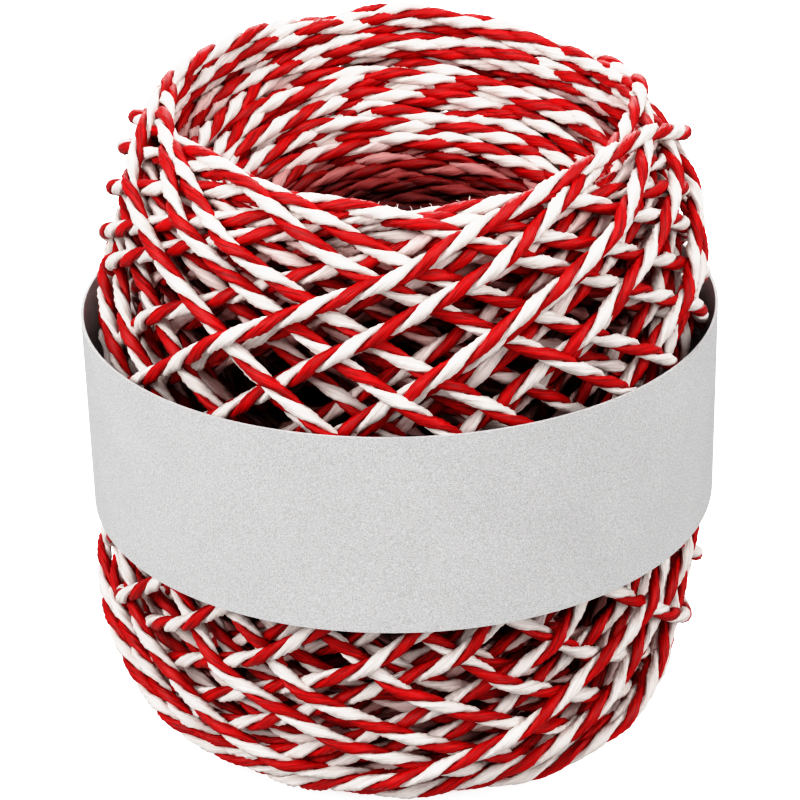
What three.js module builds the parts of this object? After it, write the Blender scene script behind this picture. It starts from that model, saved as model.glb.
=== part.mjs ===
// A roll of two-ply paper cord, standing on end, with a loose paper band round its middle.
// The cord is wound in tilted turns that cross each other: the outside is a lattice of strands,
// each end is a funnel of turns that lie almost level, and a hole runs through the middle.
// Millimetres, +Z up, origin under the middle of the band, the photographed side facing -Y.
import * as THREE from 'three';

// Wound form
const cordDiameter = 2.1;
const rollHeight = 80;
const bellyRadius = 38.15;      // outermost strands at mid height, inside the band
const lowerCrestRadius = 32.5;  // where the lower end stands flat
const upperCrestRadius = 30.5;  // highest line of the upper rim
const crestFlat = 2.4;          // flat width of the ring that the roll stands on, and of the top rim
const lowerShoulder = 0.3;      // small is square-shouldered, 1 is a full ellipse
const upperShoulder = 0.6;
const holeRadius = 11;
const throatDepth = 27;         // from a rim down to the place where the funnel meets the hole

// Main twists
const strandsEachWay = 17;      // parallel main strands round the belly, each way
const roundsPerTurn = 1.474;    // how far round the roll the cord goes on its way up and down again
const samplesPerStrand = 4;     // one along the strand, the others in the gap beside it
const gapDepth = cordDiameter;  // how far the gaps lie behind the outermost strands
const funnelTurns = 4;          // main rows of turns down each funnel
const funnelRelief = 0.4 * cordDiameter;

// Paper band
const bandWidth = 25.6;
const bandThickness = 1.0;
const bandInnerRadius = 39.0;
const bandHeight = 40.5;        // middle of the band above the base
const bandFacets = 72;
const bandFrontRaised = THREE.MathUtils.degToRad(2.5);
const bandRightRaised = THREE.MathUtils.degToRad(1.2);
const rollOffset = 0.3;         // the loose band hangs to one side, so the roll's axis is off its middle

const columns = strandsEachWay * samplesPerStrand;
const outerRows = Math.round((roundsPerTurn * columns) / 2);  // a strand climbs one row with each column

// A vertex lies on a strand where its column and row, added or taken away, meet the strand pitch.
function risesThrough(column, row) {
  return (column - row + columns) % samplesPerStrand === 0;
}

function fallsThrough(column, row) {
  return (column + row) % samplesPerStrand === 0;
}

// Side of the roll from the lower crest to the upper one. The height follows a sine, as it does
// along a tilted turn, so the turns lie level at the rims and are steepest half way up.
function outerSection() {
  const section = [];
  for (let row = 0; row <= outerRows; row += 1) {
    const angle = -Math.PI / 2 + (row * Math.PI) / outerRows;
    const lower = row < outerRows / 2;
    const crest = lower ? lowerCrestRadius : upperCrestRadius;
    const shoulder = lower ? lowerShoulder : upperShoulder;
    const level = Math.max(Math.cos(angle), 0);
    section.push({
      radius: crest + (bellyRadius - crest) * level ** shoulder,
      height: (rollHeight / 2) * (1 + Math.sin(angle)),
      gap: row === 0 || row === outerRows ? 0 : gapDepth * Math.sqrt(level),
      row,
    });
  }
  return section;
}

// One funnel from the inner edge of its rim to the hole, in rows that stand out and sink in turn.
function funnelSection(crestRadius) {
  const rimRadius = crestRadius - crestFlat;
  const slope = new THREE.Vector2(rimRadius - holeRadius, throatDepth).normalize();
  const section = [];
  const steps = 2 * funnelTurns;
  for (let step = 0; step <= steps; step += 1) {
    const share = step / steps;
    const edge = step === 0 || step === steps;
    const sink = !edge && step % 2 === 1 ? funnelRelief : 0;
    section.push({
      radius: THREE.MathUtils.lerp(rimRadius, holeRadius, share) + sink * slope.y,
      depth: share * throatDepth + sink * slope.x,
    });
  }
  return section;
}

// The closed section that goes round the roll: up the side, down the upper funnel, through the
// hole and out along the lower funnel.
function woundSection() {
  const plain = { gap: 0, row: 0 };
  const upper = funnelSection(upperCrestRadius).map(({ radius, depth }) => (
    { radius, height: rollHeight - depth, ...plain }
  ));
  const lower = funnelSection(lowerCrestRadius).reverse().map(({ radius, depth }) => (
    { radius, height: depth, ...plain }
  ));
  return [...outerSection(), ...upper, ...lower];
}

function woundGeometry() {
  const section = woundSection();
  const positions = [];
  const triangles = [];
  const vertex = (column, place) => (column % columns) * section.length + (place % section.length);

  for (let column = 0; column < columns; column += 1) {
    const turn = (column * 2 * Math.PI) / columns;
    for (const { radius, height, gap, row } of section) {
      const onStrand = risesThrough(column, row) || fallsThrough(column, row);
      const reach = onStrand ? radius : radius - gap;
      positions.push(reach * Math.cos(turn), reach * Math.sin(turn), height);
    }
  }
  for (let column = 0; column < columns; column += 1) {
    for (let place = 0; place < section.length; place += 1) {
      const a = vertex(column, place);
      const b = vertex(column + 1, place);
      const c = vertex(column + 1, place + 1);
      const d = vertex(column, place + 1);
      const foldRises = place >= outerRows || risesThrough(column, place);
      triangles.push(...(foldRises ? [a, b, c, a, c, d] : [a, b, d, b, c, d]));
    }
  }
  const geometry = new THREE.BufferGeometry();
  geometry.setAttribute('position', new THREE.Float32BufferAttribute(positions, 3));
  geometry.setIndex(triangles);
  geometry.computeVertexNormals();
  return geometry;
}

function bandGeometry() {
  const outerRadius = bandInnerRadius + bandThickness;
  const half = bandWidth / 2;
  const profile = [
    new THREE.Vector2(bandInnerRadius, -half),
    new THREE.Vector2(outerRadius, -half),
    new THREE.Vector2(outerRadius, half),
    new THREE.Vector2(bandInnerRadius, half),
    new THREE.Vector2(bandInnerRadius, -half),
  ];
  const geometry = new THREE.LatheGeometry(profile, bandFacets);
  geometry.rotateX(Math.PI / 2);
  return geometry;
}

const redAndWhitePaper = new THREE.MeshStandardMaterial({ color: '#d8484a', roughness: 0.85, metalness: 0 });
const greyCard = new THREE.MeshStandardMaterial({ color: '#d2d2d0', roughness: 0.8, metalness: 0 });

const cordRoll = new THREE.Mesh(woundGeometry(), redAndWhitePaper);
cordRoll.name = 'cord_roll';
cordRoll.position.set(rollOffset, 0, 0);

const paperBand = new THREE.Mesh(bandGeometry(), greyCard);
paperBand.name = 'paper_band';
paperBand.position.set(0, 0, bandHeight);
paperBand.rotation.set(-bandFrontRaised, -bandRightRaised, 0);

const roll = new THREE.Group();
roll.add(cordRoll, paperBand);

export default roll;
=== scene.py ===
import math

import bpy
import numpy as np
from mathutils import Matrix, Vector


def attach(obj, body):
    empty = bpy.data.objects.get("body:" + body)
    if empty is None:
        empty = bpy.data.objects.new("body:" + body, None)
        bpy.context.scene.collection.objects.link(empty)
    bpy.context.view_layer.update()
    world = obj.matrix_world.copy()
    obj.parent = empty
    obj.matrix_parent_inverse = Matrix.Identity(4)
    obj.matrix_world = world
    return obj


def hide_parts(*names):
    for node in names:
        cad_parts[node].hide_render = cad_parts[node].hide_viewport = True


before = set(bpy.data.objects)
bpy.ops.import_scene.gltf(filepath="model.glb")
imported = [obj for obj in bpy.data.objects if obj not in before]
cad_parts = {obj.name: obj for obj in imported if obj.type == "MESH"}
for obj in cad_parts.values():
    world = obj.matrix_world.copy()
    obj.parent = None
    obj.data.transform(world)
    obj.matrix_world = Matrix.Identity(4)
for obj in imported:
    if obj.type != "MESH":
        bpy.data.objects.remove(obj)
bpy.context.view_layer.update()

# The winding
# One cord, about 50 m long, is wound on a thin mandrel by an arm that goes round it at a slant, while
# the mandrel turns nearly half round with each turn. Each turn lies taut over the older ones, so the
# sides grow as a lattice and the ends as funnels. In millimetres and degrees.
turns = 203
tilt_of_turns = 53.0            # between the arm's path and the base
neighbour_step = 18.83          # round between neighbouring strands, which are two turns apart
sweep = math.radians(180 - neighbour_step / 2)  # how far the mandrel turns in one turn of the arm
outer_turns = 38                # the turns that show on the sides
mandrel_radius = 11.0
front_bearing = -90.0           # the photographed side is towards -Y
newest_turn_rises_at = -84.0    # round from the front, where the last turn crosses mid height
inner_spacing = 0.97            # between a turn and those under it, deep down where the cord is crushed
outer_spacing = 1.5             # the same near the outside
bending_length = 1.2            # the cord is too stiff to follow anything sharper
phase_slack = 2.2               # how unevenly the turns are laid, round the roll
tilt_slack = 0.4                # the same in their tilt
height_slack = 0.3              # the same up and down
nested_tilt = 1.5               # deep down every other pair of turns is steeper, and the rest nest between
points_per_turn = 300
turns_felt = 60                 # a new turn only ever meets these last ones
directions = 360                # in which a turn's taut outline is worked out
roll_seed = 4
# The newest turns, by age, and how far round each lies from its even place.
laid_off = {0: 1, 1: 5, 2: 4, 3: 8, 4: 5, 5: 4, 6: -11, 7: 7, 8: -10, 10: 4, 11: 4, 12: 0, 13: 2}


def taut_over(support, discs, radii, compass):
    """Outline of a cord pulled tight round the mandrel's outline and round discs in its plane."""
    reach = np.einsum("ij,ij->i", support, compass)
    outline = support.copy()
    if len(discs):
        reaches = discs @ compass.T + radii[:, None]
        furthest = reaches.argmax(0)
        proud = reaches[furthest, np.arange(len(compass))] > reach
        held_by = furthest[proud]
        outline[proud] = discs[held_by] + radii[held_by, None] * compass[proud]
    return outline


def evenly_spaced(outline, count):
    """Points at equal steps along a closed outline, from where it meets the first axis."""
    same_point = 1e-9
    ring = np.vstack([outline, outline[:1]])
    along = np.concatenate([[0], np.cumsum(np.hypot(*np.diff(ring, axis=0).T))])
    moves = np.concatenate([[True], np.diff(along) > same_point])
    ring, along = ring[moves], along[moves]
    length = along[-1]
    angle = np.unwrap(np.arctan2(ring[:, 1], ring[:, 0]))
    two_rounds = np.concatenate([angle[:-1] - 2 * np.pi, angle])
    start = np.interp(0, two_rounds, np.concatenate([along[:-1] - length, along]))
    at = (start + np.linspace(0, length, count, endpoint=False)) % length
    return np.stack([np.interp(at, along, ring[:, axis]) for axis in (0, 1)], 1), length / count


def bell(sigma):
    """Steps to either side of a point and their weights, which fall off within three sigma."""
    reach = math.ceil(3 * sigma)
    steps = np.arange(-reach, reach + 1)
    weights = np.exp(-0.5 * (steps / sigma) ** 2)
    return steps, weights / weights.sum()


def softened(line, sigma, closed):
    """The line with bends shorter than sigma points smoothed out."""
    steps, weights = bell(sigma)
    if closed:
        return sum(weight * np.roll(line, step, axis=0) for weight, step in zip(weights, steps))
    padded = np.pad(line, ((len(steps) // 2, len(steps) // 2), (0, 0)), mode="edge")
    return np.stack([np.convolve(padded[:, axis], weights, "valid") for axis in range(3)], 1)


def swept(points, angle):
    """Points turned about the roll's axis."""
    x = np.cos(angle) * points[:, 0] - np.sin(angle) * points[:, 1]
    y = np.sin(angle) * points[:, 0] + np.cos(angle) * points[:, 1]
    return np.stack([x, y, points[:, 2]], 1)


def beside_turn(older, level, across, tilt, spacing):
    """Older points that the new turn meets, turned back to where the mandrel was at that moment."""
    climb = older[:, 2] / np.linalg.norm(older, axis=1) / math.sin(tilt)
    rise = np.arcsin(np.clip(climb, -1, 1))
    met = []
    for side, angle in ((1, rise % (2 * math.pi)), (-1, math.pi - rise)):
        back = swept(older, -sweep * angle / (2 * math.pi))
        met.append(back[(np.abs(back @ across) < spacing) & (side * (back @ level) > 0)])
    return np.concatenate(met)


def wind_roll():
    """The centre line of every turn, oldest first, about the middle of the roll."""
    chance = np.random.default_rng(roll_seed)
    bearing = np.linspace(0, 2 * np.pi, directions, endpoint=False)
    compass = np.stack([np.cos(bearing), np.sin(bearing)], 1)
    wound = []
    for turn in range(turns):
        age = turns - 1 - turn
        is_outer = age < outer_turns
        spacing = outer_spacing if is_outer else inner_spacing
        slack = laid_off.get(age, chance.normal(0, phase_slack))
        phase = math.radians(front_bearing + newest_turn_rises_at + slack) - sweep * age
        nested = 0 if is_outer else nested_tilt * (-1) ** (age // 2)
        tilt = math.radians(tilt_of_turns + nested + chance.normal(0, tilt_slack))
        middle = np.array([0, 0, chance.normal(0, height_slack)])
        level = np.array([math.cos(phase), math.sin(phase), 0])
        uphill = np.array([-math.sin(phase), math.cos(phase), 0])
        rising = math.cos(tilt) * uphill + np.array([0, 0, math.sin(tilt)])
        across = np.cross(level, rising)
        short_axis = mandrel_radius + spacing / 2
        axes = np.array([short_axis, short_axis / math.cos(tilt)])
        support = axes ** 2 * compass / np.linalg.norm(axes * compass, axis=1)[:, None]
        discs, radii = np.zeros((0, 2)), np.zeros(0)
        if wound:
            older = np.concatenate(wound[-turns_felt:]) - middle
            met = beside_turn(older, level, across, tilt, spacing)
            discs = np.stack([met @ level, met @ rising], 1)
            radii = np.sqrt(spacing ** 2 - (met @ across) ** 2)
        outline, step = evenly_spaced(taut_over(support, discs, radii, compass), points_per_turn)
        outline = softened(outline, bending_length / step, closed=True)
        angle = np.unwrap(np.arctan2(outline[:, 1], outline[:, 0]))
        laid = outline[:, :1] * level + outline[:, 1:] * rising
        wound.append(swept(laid, sweep * angle / (2 * math.pi)) + middle)
    return np.array(wound)


wound = wind_roll()

# The finished roll
# As the mandrel is drawn out, the wound paper cord settles. The lower rim is level, the upper one dips
# towards the front, and the sides are even all round and fuller below the waist than above it.
roll_middle = 40.0              # above the surface that the roll stands on
top_lean = 0.5                  # how far the top has leaned to the right
cord_radius = 1.03
crest_below = 39.4              # of the cord's centre line, from the middle of the roll
seam_length = 9.0               # points over which one turn runs into the next, under the band
sectors, levels = 24, 16        # cells in which the girth and height of the wound roll are measured
# Crest above the middle, at each eighth of the way round from the front.
crest_above = [37.9, 39.5, 39.8, 38.9, 40.3, 40.5, 40.0, 39.3]
# Radius of the sides at shares of the crest's height.
share_of_height = [-1.0, -0.95, -0.9, -0.8, -0.6, -0.3, 0.0, 0.3, 0.6, 0.8, 0.9, 0.96, 1.0]
radius_there = [33.2, 36.0, 37.6, 38.4, 38.6, 37.6, 37.4, 37.6, 37.4, 36.0, 34.4, 31.8, 29.6]


def furthest_out(values, cells, count):
    """The largest value in each cell, and next to nothing in an empty one."""
    most = np.full(count, 1e-6)
    np.maximum.at(most, cells, values)
    return most


def evened_round(rows, spread=1.1):
    """Rows of values, one for each sector of the roll, smoothed from sector to sector."""
    steps, weights = bell(spread)
    return sum(weight * np.roll(rows, step, axis=0) for weight, step in zip(weights, steps))


def between_sectors(rows, sector_at, level_at):
    """Values read off the rows at fractions of a sector and of a level."""
    sector = np.floor(sector_at).astype(int)
    level = np.clip(np.floor(level_at).astype(int), 0, rows.shape[1] - 2)
    across, up = sector_at - sector, np.clip(level_at - level, 0, 1)
    near, far = rows[sector % sectors], rows[(sector + 1) % sectors]
    at = np.arange(len(sector))
    lower = near[at, level] * (1 - across) + far[at, level] * across
    upper = near[at, level + 1] * (1 - across) + far[at, level + 1] * across
    return lower * (1 - up) + upper * up


def settled(points):
    """The turns with their crests and their girth brought to the finished roll's."""
    x, y, height = points.T
    radius, bearing = np.hypot(x, y), np.arctan2(y, x) % (2 * math.pi)
    sector_at = bearing / (2 * math.pi) * sectors - 0.5
    sector = np.round(sector_at).astype(int) % sectors
    from_front = np.degrees(bearing) - front_bearing
    upper = np.interp(from_front, np.arange(0, 360, 45), crest_above, period=360)
    for side, wanted in ((1, upper), (-1, crest_below)):
        crest = evened_round(furthest_out(side * height, sector, sectors)[:, None])
        crest = between_sectors(np.hstack([crest, crest]), sector_at, np.zeros(len(height)))
        height = np.where(side * height > 0, height * wanted / crest, height)
    share = np.clip(height / np.where(height > 0, upper, crest_below), -1, 1)
    level_at = (share + 1) / 2 * (levels - 1)
    cells = sector * levels + np.round(level_at).astype(int)
    girth = evened_round(furthest_out(radius, cells, sectors * levels).reshape(sectors, levels))
    wanted = np.interp(np.linspace(-1, 1, levels), share_of_height, radius_there)
    growth = between_sectors(wanted / girth, sector_at, level_at)
    return np.stack([x * growth, y * growth, height], 1)


from_seam = np.minimum(np.arange(points_per_turn), points_per_turn - np.arange(points_per_turn))
near_seam = np.tile(np.exp(-0.5 * (from_seam / seam_length) ** 2), turns)[:, None]
line = wound.reshape(-1, 3)
line = line + near_seam * (softened(line, seam_length, closed=False) - line)
line = settled(line)
line[:, 0] += top_lean * line[:, 2] / roll_middle
line[:, 2] = np.maximum(line[:, 2] + roll_middle, cord_radius)

# The plies
# The cord is two strips of paper, one bleached and one dyed red, each rolled into a flat thread and
# the two laid together with an S twist. The white one is the wider, so its leaves look larger.
lay = 10.0                      # length of cord in one whole twist
lay_drift = 0.12                # the twist is tighter here and looser there
drift_waves, shortest_wave, longest_wave = 6, 60.0, 400.0   # that the drift is made of
twist_seed = 7
white_half_width, white_half_depth, white_offset = 0.88, 0.52, 0.46
red_half_width, red_half_depth, red_offset = 0.80, 0.52, 0.50
# Rings of the mesh for each millimetre of cord: on the sides, in the upper funnel, in the lower funnel
# and the hole, and out of sight.
outer_rings, upper_rings, lower_rings, buried_rings = 1.0, 1.5, 0.45, 0.24
hidden_by_band = 9.5            # above and below the middle
hole_turns = 20                 # the oldest turns, which line the hole
funnel_height = 0.80            # share of a turn's height above which it shows in a funnel
funnel_slope = 1.29             # of its wall, height to width
# Painted shade: deep in the roll the paper is painted dimmer and redder, as light that gets there is dim
# and red from all the red paper that it has met. The light's share at millimetres behind the sides, behind
# the funnel's wall and below the rim.
behind_side, side_share = [3.5, 10.0, 16.0], [1.0, 0.5, 0.1]
behind_wall, wall_share = [1.5, 6.0], [1.0, 0.35]
below_rim, throat_share = [13.0, 15.5, 18.5], [1.0, 0.5, 0.12]
reddening = 2.5


def ring_places(first, last, rings_at):
    """Places of the mesh's rings along the cord, closer together where more of them are wanted."""
    lengths = length_at[first:last]
    wanted = np.concatenate([[0], np.cumsum(rings_at[first:last - 1] * np.diff(lengths))])
    count = int(round(wanted[-1]))
    return np.interp(np.linspace(0, wanted[-1], count + 1), wanted, lengths)


def open_to_light(points):
    """Colour of the painted light on the cord: white on the skin of the roll, painted shade, dim and red,
    inside.
    """
    radius = np.hypot(points[:, 0], points[:, 1])
    height = points[:, 2] - roll_middle
    from_side = np.interp(height / roll_middle, share_of_height, radius_there) - radius
    from_rim = crest_below - np.abs(height)
    from_wall = (from_rim - funnel_slope * (radius_there[-1] - radius)) / math.hypot(1, funnel_slope)
    funnel_light = np.interp(from_wall, behind_wall, wall_share)
    funnel_light *= np.interp(from_rim, below_rim, throat_share)
    light = np.maximum(np.interp(from_side, behind_side, side_share), funnel_light)
    return np.stack([light, light ** reddening, light ** reddening, np.ones(len(light))], 1)


def rings_of_ply(places, half_width, half_depth, offset, half_turn, sides):
    """The cord's centre at each place, and the ring of points round one of its plies there."""
    centre = np.stack([np.interp(places, length_at, line[:, axis]) for axis in range(3)], 1)
    tangent = np.gradient(centre, axis=0)
    tangent /= np.linalg.norm(tangent, axis=1)[:, None]
    outward = centre * [1, 1, 0]
    outward -= np.einsum("ij,ij->i", outward, tangent)[:, None] * tangent
    outward /= np.linalg.norm(outward, axis=1)[:, None]
    sideways = np.cross(tangent, outward)
    twist = np.interp(places, length_at, twist_at) + half_turn * math.pi
    lift = np.cos(twist)[:, None] * outward - np.sin(twist)[:, None] * sideways
    flank = np.cross(tangent, lift)
    girth_angle = np.linspace(0, 2 * math.pi, sides, endpoint=False)
    lifts = (offset - half_depth * np.cos(girth_angle))[None, :, None]
    flanks = (half_width * np.sin(girth_angle))[None, :, None]
    return centre, centre[:, None] + lifts * lift[:, None] + flanks * flank[:, None]


def closed_tube(name, points, places):
    """A mesh over rings of points, capped at both ends, with its length and girth as UV."""
    rings, sides = points.shape[:2]
    ring, side = np.meshgrid(np.arange(rings - 1), np.arange(sides), indexing="ij")
    beside = (side + 1) % sides
    quads = np.stack([ring * sides + side, (ring + 1) * sides + side,
                      (ring + 1) * sides + beside, ring * sides + beside], -1).reshape(-1, 4)
    first_cap = np.arange(sides)
    last_cap = (rings - 1) * sides + np.arange(sides)[::-1]
    corners = np.concatenate([quads.ravel(), first_cap, last_cap])
    sizes = np.concatenate([np.full(len(quads), 4), np.full(2, sides)])
    starts = np.concatenate([[0], np.cumsum(sizes)[:-1]])
    mesh = bpy.data.meshes.new(name)
    mesh.vertices.add(rings * sides)
    mesh.vertices.foreach_set("co", (points.reshape(-1) / 1000).astype(np.float32))
    mesh.loops.add(len(corners))
    mesh.loops.foreach_set("vertex_index", corners.astype(np.int32))
    mesh.polygons.add(len(sizes))
    mesh.polygons.foreach_set("loop_start", starts.astype(np.int32))
    mesh.polygons.foreach_set("use_smooth", np.ones(len(sizes), bool))
    mesh.update(calc_edges=True)
    girth_step = np.stack([side, side, side + 1, side + 1], -1).reshape(-1)
    ring_step = np.stack([ring, ring + 1, ring + 1, ring], -1).reshape(-1)
    uv = np.zeros((len(corners), 2))
    uv[:len(ring_step), 0] = places[ring_step]
    uv[:len(ring_step), 1] = girth_step / sides
    mesh.uv_layers.new(name="ply").uv.foreach_set("vector", uv.astype(np.float32).ravel())
    return mesh


def light_up(mesh, colours):
    """Stores the colour of the painted light at each vertex, which the paper multiplies into its colour.
    """
    light = mesh.attributes.new("light", "FLOAT_COLOR", "POINT")
    light.data.foreach_set("color", colours.astype(np.float32).ravel())


def linear(colour):
    """An sRGB hex colour as the linear one that a shader takes."""
    parts = [int(colour[at:at + 2], 16) / 255 for at in (1, 3, 5)]
    return [p / 12.92 if p <= 0.04045 else ((p + 0.055) / 1.055) ** 2.4 for p in parts] + [1.0]


def node(tree, kind, inputs, **settings):
    """Adds a node with its settings, and sets or links its inputs."""
    made = tree.nodes.new(kind)
    for setting, value in settings.items():
        setattr(made, setting, value)
    for name, value in inputs.items():
        if isinstance(value, bpy.types.NodeSocket):
            tree.links.new(value, made.inputs[name])
        else:
            made.inputs[name].default_value = value
    return made


def twisted_paper(name, lit, crease_shade, roughness, shine):
    """Paper rolled into a thread: matte, with painted shade in creases that run along it at a slant, and
    dimmed by the painted light on the mesh.
    """
    crease_length = 5.0         # mm
    creases_round = 13.0        # a third of a millimetre each, coarser than they are, so that they show
    slant = 0.05                # of the way round for each millimetre
    crease_depth = 0.25         # mm
    hollow, ridge = 0.35, 0.62  # values of the noise in a crease and beside it
    material = bpy.data.materials.new(name)
    material.use_nodes = True
    tree = material.node_tree
    tree.nodes.clear()
    ply = node(tree, "ShaderNodeUVMap", {}, uv_map="ply")
    parts = node(tree, "ShaderNodeSeparateXYZ", {"Vector": ply.outputs["UV"]})
    slide = node(tree, "ShaderNodeMath", {0: parts.outputs["X"], 1: slant, 2: parts.outputs["Y"]},
                 operation="MULTIPLY_ADD")
    place = node(tree, "ShaderNodeCombineXYZ", {"X": parts.outputs["X"], "Y": slide.outputs[0]})
    stretched = node(tree, "ShaderNodeMapping", {"Vector": place.outputs[0],
                                                 "Scale": (1 / crease_length, creases_round, 1)})
    creases = node(tree, "ShaderNodeTexNoise", {"Vector": stretched.outputs[0], "Scale": 1.0,
                                                "Detail": 4.0, "Roughness": 0.6})
    # Painted shade: where the noise dips, the paper is mixed towards its darker colour for the creases.
    depth = node(tree, "ShaderNodeMapRange", {"Value": creases.outputs["Fac"],
                                              "From Min": hollow, "From Max": ridge})
    paper = node(tree, "ShaderNodeMix", {"Factor": depth.outputs[0], 6: linear(crease_shade), 7: linear(lit)},
                 data_type="RGBA")
    # Painted shade: the paper's colour is multiplied by the painted light stored on the mesh.
    light = node(tree, "ShaderNodeAttribute", {}, attribute_name="light")
    colour = node(tree, "ShaderNodeVectorMath", {0: paper.outputs[2], 1: light.outputs["Color"]},
                  operation="MULTIPLY")
    relief = node(tree, "ShaderNodeBump", {"Height": creases.outputs["Fac"], "Strength": 0.8,
                                           "Distance": crease_depth / 1000})
    shader = node(tree, "ShaderNodeBsdfPrincipled", {"Base Color": colour.outputs[0],
                                                     "Roughness": roughness, "Specular IOR Level": shine,
                                                     "Normal": relief.outputs[0]})
    node(tree, "ShaderNodeOutputMaterial", {"Surface": shader.outputs[0]})
    return material


length_at = np.concatenate([[0], np.cumsum(np.linalg.norm(np.diff(line, axis=0), axis=1))])
chance = np.random.default_rng(twist_seed)
waves = [(chance.uniform(shortest_wave, longest_wave), chance.uniform(0, 2 * math.pi))
         for wave in range(drift_waves)]
unevenness = sum(np.sin(2 * math.pi * length_at / wave + start) for wave, start in waves) / drift_waves
lay_at = lay * (1 + lay_drift * unevenness)
twist_at = np.concatenate([[0], np.cumsum(2 * math.pi * np.diff(length_at) / lay_at[1:])])

share_of_turn = (wound[..., 2] / np.abs(wound[..., 2]).max(1)[:, None]).reshape(-1)
under_band = np.abs(wound[..., 2]).reshape(-1) < hidden_by_band
turn_at = np.repeat(np.arange(turns), points_per_turn)
below_or_in_hole = (share_of_turn < -funnel_height) | (turn_at < hole_turns)
rings_at = np.where(below_or_in_hole, lower_rings, buried_rings)
rings_at = np.where(share_of_turn > funnel_height, upper_rings, rings_at)
rings_at = np.where((turn_at >= turns - outer_turns) & ~under_band, outer_rings, rings_at)

# Bleached paper looks warm white and nearly matte, with a soft grey painted shade in its creases. The dyed
# strip is smoother and takes a faint sheen along its top, and the painted shade in its creases is almost
# brown.
white_paper = twisted_paper("bleached twisted paper", "#f0e6e1", "#cfc3bd", roughness=0.62, shine=0.35)
red_paper = twisted_paper("red dyed twisted paper", "#c8050a", "#780002", roughness=0.42, shine=0.27)

middle_turn = (turns - outer_turns) // 2
# Name, first turn, the turn after the last, and sides of the ply's mesh.
layers = [("inner", 0, middle_turn, 6),
          ("middle", middle_turn, turns - outer_turns, 8),
          ("outer", turns - outer_turns, turns, 8)]
# Name, paper, half width, half depth, offset from the cord's centre, and place in half turns.
plies = [("white_ply", white_paper, white_half_width, white_half_depth, white_offset, 0),
         ("red_ply", red_paper, red_half_width, red_half_depth, red_offset, 1)]
for layer, first_turn, last_turn, sides in layers:
    first, last = first_turn * points_per_turn, min(last_turn * points_per_turn + 1, len(line))
    places = ring_places(first, last, rings_at)
    for ply, paper, half_width, half_depth, offset, half_turn in plies:
        centre, points = rings_of_ply(places, half_width, half_depth, offset, half_turn, sides)
        mesh = closed_tube(f"{ply}_{layer}", points, places)
        light_up(mesh, np.repeat(open_to_light(centre), sides, axis=0))
        mesh.materials.append(paper)
        piece = bpy.data.objects.new(mesh.name, mesh)
        bpy.context.scene.collection.objects.link(piece)
        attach(piece, "root")
        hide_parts("cord_roll")

# The loose fibres
# Where the last turns come over the near rim, a few fibres of the white paper have rubbed loose. They
# are finer than a hair, and curl up from the cord that their other ends are still rolled into.
fibre_groups = [(-2.6, 6), (-0.8, 6), (2.1, 6), (7.0, 4)]   # to the right of the middle, and how many
fibre_spread = 0.7              # of a group
fibre_length, shortest_share, longest_share = 0.75, 0.5, 1.2
fibre_width = 0.07              # real ones are about half as wide, and would not show
fibre_taper = 0.6
fibre_lean, fibre_curl = 0.7, 0.35
fibre_root = 0.9                # share of the cord's radius at which a fibre leaves the paper
fibre_points = 6
fibre_seed = 11
over_rim = np.array([0, 0.48, 0.88])    # the way that the top of the near rim faces


def top_of_rim(x):
    """A point just inside the top of the cord that lies highest on the near rim, so far to the right."""
    near = line[(np.abs(line[:, 0] - x) < cord_radius / 2) & (line[:, 1] < -mandrel_radius)]
    return near[np.argmax(near @ over_rim)] + fibre_root * cord_radius * over_rim


fibre_lines = bpy.data.curves.new("loose_fibres", "CURVE")
fibre_lines.dimensions = "3D"
fibre_lines.bevel_depth = fibre_width / 2 / 1000
fibre_lines.bevel_resolution = 0
fibre_lines.use_fill_caps = True
chance = np.random.default_rng(fibre_seed)
for middle, count in fibre_groups:
    for fibre in range(count):
        place = top_of_rim(middle + chance.normal(0, fibre_spread))
        heading = over_rim + chance.normal(0, fibre_lean, 3)
        curl = chance.normal(0, fibre_curl, 3)
        step = fibre_length * chance.uniform(shortest_share, longest_share) / fibre_points
        spline = fibre_lines.splines.new("POLY")
        spline.points.add(fibre_points - 1)
        for number, point in enumerate(spline.points):
            point.co = [*(place / 1000), 1]
            point.radius = 1 - fibre_taper * number / fibre_points
            heading = heading / np.linalg.norm(heading) + curl
            place = place + step * heading / np.linalg.norm(heading)
fibres = bpy.data.objects.new("loose_fibres", fibre_lines)
bpy.context.scene.collection.objects.link(fibres)
bpy.ops.object.select_all(action="DESELECT")
fibres.select_set(True)
bpy.context.view_layer.objects.active = fibres
bpy.ops.object.convert(target="MESH")
fibres.data.materials.clear()
fibres.data.materials.append(white_paper)
light_up(fibres.data, np.ones((len(fibres.data.vertices), 4)))
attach(fibres, "root")
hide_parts("cord_roll")

# The paper band
# A strip of light grey card, closed into a loose sleeve with a glued lap at the back, holds the last
# turns. It was slipped over the roll, and sits a little higher at the front and at the right.
band_width = 25.6
band_thickness = 0.35
band_radius = 39.8              # middle of the card
band_height = 40.5              # middle of the band above the base
lap = 12.0
step_length = 0.8 * lap         # over which the card steps in to lie under its other end
glue_thickness = 0.05
end_lift, end_length = 0.5, 5.0   # the outer end stands off a little, past its glue
front_raised = math.radians(2.5)
right_raised = math.radians(1.2)
band_columns, band_rows = 180, 8
sharp_edge = math.radians(40)

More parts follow.
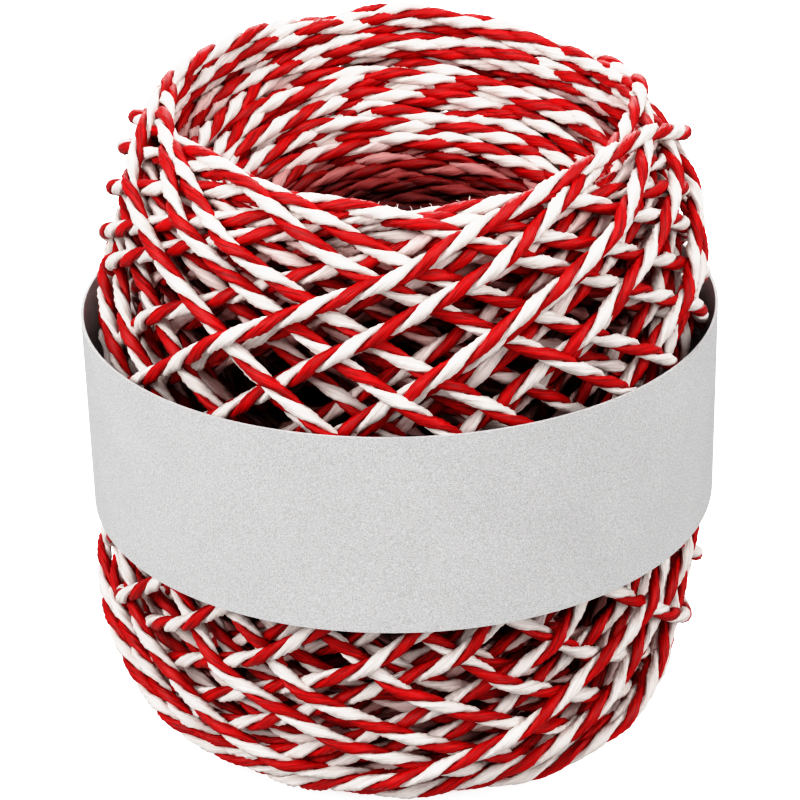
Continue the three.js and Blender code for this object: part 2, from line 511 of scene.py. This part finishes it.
band_length = 2 * math.pi * band_radius + lap
lean = Matrix.Rotation(-front_raised, 4, "X") @ Matrix.Rotation(-right_raised, 4, "Y")
bpy.ops.object.select_all(action="DESELECT")
bpy.ops.mesh.primitive_grid_add(x_subdivisions=band_columns, y_subdivisions=band_rows, size=1)
band = bpy.context.object
band.name = band.data.name = "paper_band_sheet"
for vertex in band.data.vertices:
    along = (vertex.co.x + 0.5) * band_length
    up = vertex.co.y * band_width
    angle = math.pi / 2 + (along - lap / 2) / band_radius
    under = min(max(2 - along / step_length, 0), 1)
    radius = band_radius - (band_thickness + glue_thickness) * under * under * (3 - 2 * under)
    radius += end_lift * max(1 - (band_length - along) / end_length, 0) ** 2
    upright = Vector((radius * math.cos(angle), radius * math.sin(angle), up))
    vertex.co = (lean @ upright + Vector((0, 0, band_height))) / 1000
card_body = band.modifiers.new("card", "SOLIDIFY")
card_body.thickness = band_thickness / 1000
card_body.offset = 0
card_body.material_offset_rim = 1
bpy.ops.object.modifier_apply(modifier="card")
bpy.ops.object.shade_smooth_by_angle(angle=sharp_edge)


def flecked_card(name, dark, pale):
    """Uncoated recycled card: flat and dull, with fine paler and darker flecks of fibre."""
    fleck_size = 0.16           # mm, a little coarser than the fibres are, so that they show
    mottle_size = 9.0           # mm
    fleck_depth = 0.1           # mm
    dark_fleck, pale_fleck = 0.38, 0.62     # values of the noise in the flecks
    darkest, palest = 0.97, 1.02            # of the slow mottle
    material = bpy.data.materials.new(name)
    material.use_nodes = True
    tree = material.node_tree
    tree.nodes.clear()
    place = node(tree, "ShaderNodeTexCoord", {})
    flecks = node(tree, "ShaderNodeTexNoise", {"Vector": place.outputs["Object"],
                                               "Scale": 1000 / fleck_size,
                                               "Detail": 3.0, "Roughness": 0.65})
    mottle = node(tree, "ShaderNodeTexNoise", {"Vector": place.outputs["Object"],
                                               "Scale": 1000 / mottle_size, "Detail": 2.0})
    speckle = node(tree, "ShaderNodeValToRGB", {"Fac": flecks.outputs["Fac"]})
    ends = zip(speckle.color_ramp.elements, (dark_fleck, pale_fleck), (dark, pale))
    for end, position, colour in ends:
        end.position = position
        end.color = linear(colour)
    shade = node(tree, "ShaderNodeMapRange", {"Value": mottle.outputs["Fac"],
                                              "From Min": 0.3, "From Max": 0.7,
                                              "To Min": darkest, "To Max": palest})
    colour = node(tree, "ShaderNodeVectorMath", {0: speckle.outputs["Color"], "Scale": shade.outputs[0]},
                  operation="SCALE")
    relief = node(tree, "ShaderNodeBump", {"Height": flecks.outputs["Fac"], "Strength": 0.25,
                                           "Distance": fleck_depth / 1000})
    shader = node(tree, "ShaderNodeBsdfPrincipled", {"Base Color": colour.outputs[0], "Roughness": 0.8,
                                                     "Normal": relief.outputs[0]})
    node(tree, "ShaderNodeOutputMaterial", {"Surface": shader.outputs[0]})
    return material


# The faces look evenly grey from afar and speckled close to. The cut edges show the paler pulp inside.
band.data.materials.append(flecked_card("light grey flecked card", "#a3a2a2", "#c6c5c5"))
band.data.materials.append(flecked_card("cut edge of the card", "#e4e2df", "#eeece8"))
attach(band, "root")
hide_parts("paper_band")

# The studio
# The roll stands on a white sweep that glows, so no edge or horizon shows. Large soft lights in front,
# overhead and behind and a white surround leave shade only in the gaps. In metres and watts.
floor_size = 40.0
floor_gap = 0.0002              # below the roll
floor_glow = 2.1
# Painted shadow: the sweep is left dark under the roll and at its foot, where shade falls.
shaded_radius, glowing_radius = 0.030, 0.037    # under the roll the sweep does not glow
surround = 0.62
light_size = 0.6
light_places = [("key", (-0.66, -0.41, 0.53), 8.2), ("fill", (0.66, -0.41, 0.53), 6.0),
                ("top", (0, -0.1, 0.9), 5.0), ("back", (0, 0.8, 0.4), 7.0)]
# The grade deepens the shade and rolls the brightest whites off: light, and how bright it is shown.
tone_curve = [(0.04, 0.015), (0.2, 0.18), (0.5, 0.5), (0.8, 0.78), (1.1, 0.92), (1.5, 0.975)]
full_white = 2.0

bpy.ops.object.select_all(action="DESELECT")
bpy.ops.mesh.primitive_plane_add(size=floor_size, location=(0, 0, -floor_gap))
floor = bpy.context.object
floor.name = "floor"
white_sweep = bpy.data.materials.new("white sweep")
white_sweep.use_nodes = True
tree = white_sweep.node_tree
tree.nodes.clear()
place = node(tree, "ShaderNodeTexCoord", {})
from_middle = node(tree, "ShaderNodeVectorMath", {0: place.outputs["Object"]}, operation="LENGTH")
glow = node(tree, "ShaderNodeMapRange", {"Value": from_middle.outputs["Value"],
                                         "From Min": shaded_radius, "From Max": glowing_radius,
                                         "To Max": floor_glow})
shader = node(tree, "ShaderNodeBsdfPrincipled", {"Base Color": linear("#fbfbfb"), "Roughness": 0.9,
                                                 "Emission Color": linear("#ffffff"),
                                                 "Emission Strength": glow.outputs[0]})
node(tree, "ShaderNodeOutputMaterial", {"Surface": shader.outputs[0]})
floor.data.materials.append(white_sweep)
# The glow is seen and lights nothing.
floor.visible_diffuse = False
floor.visible_glossy = False

world = bpy.data.worlds.new("white surround")
bpy.context.scene.world = world
world.use_nodes = True
background = world.node_tree.nodes["Background"]
background.inputs["Color"].default_value = linear("#ffffff")
background.inputs["Strength"].default_value = surround

# The camera stands in front and looks down on the roll, with a long lens.
aim = Vector((-0.00016, 0.0, 0.0384))
camera_elevation = math.radians(28.7)
camera_distance = 0.3538
to_camera = Vector((0, -math.cos(camera_elevation), math.sin(camera_elevation)))
camera = bpy.data.objects.new("camera", bpy.data.cameras.new("camera"))
camera.data.lens = 124.0
camera.data.sensor_width = 36.0
camera.data.clip_start = 0.01
camera.location = aim + camera_distance * to_camera
camera.rotation_euler = (aim - camera.location).to_track_quat("-Z", "Y").to_euler()
bpy.context.scene.collection.objects.link(camera)
bpy.context.scene.camera = camera

for name, place, power in light_places:
    light = bpy.data.lights.new(name, "AREA")
    light.size = light_size
    light.energy = power
    holder = bpy.data.objects.new(name, light)
    holder.location = place
    holder.rotation_euler = (aim - holder.location).to_track_quat("-Z", "Y").to_euler()
    bpy.context.scene.collection.objects.link(holder)

grade = bpy.context.scene.view_settings
grade.view_transform = "Standard"
grade.use_curve_mapping = True
grade.curve_mapping.clip_max_x = full_white
all_channels = grade.curve_mapping.curves[3]
all_channels.points[-1].location = (full_white, 1.0)
for brightness, shown in tone_curve:
    all_channels.points.new(brightness, shown)
grade.curve_mapping.update()
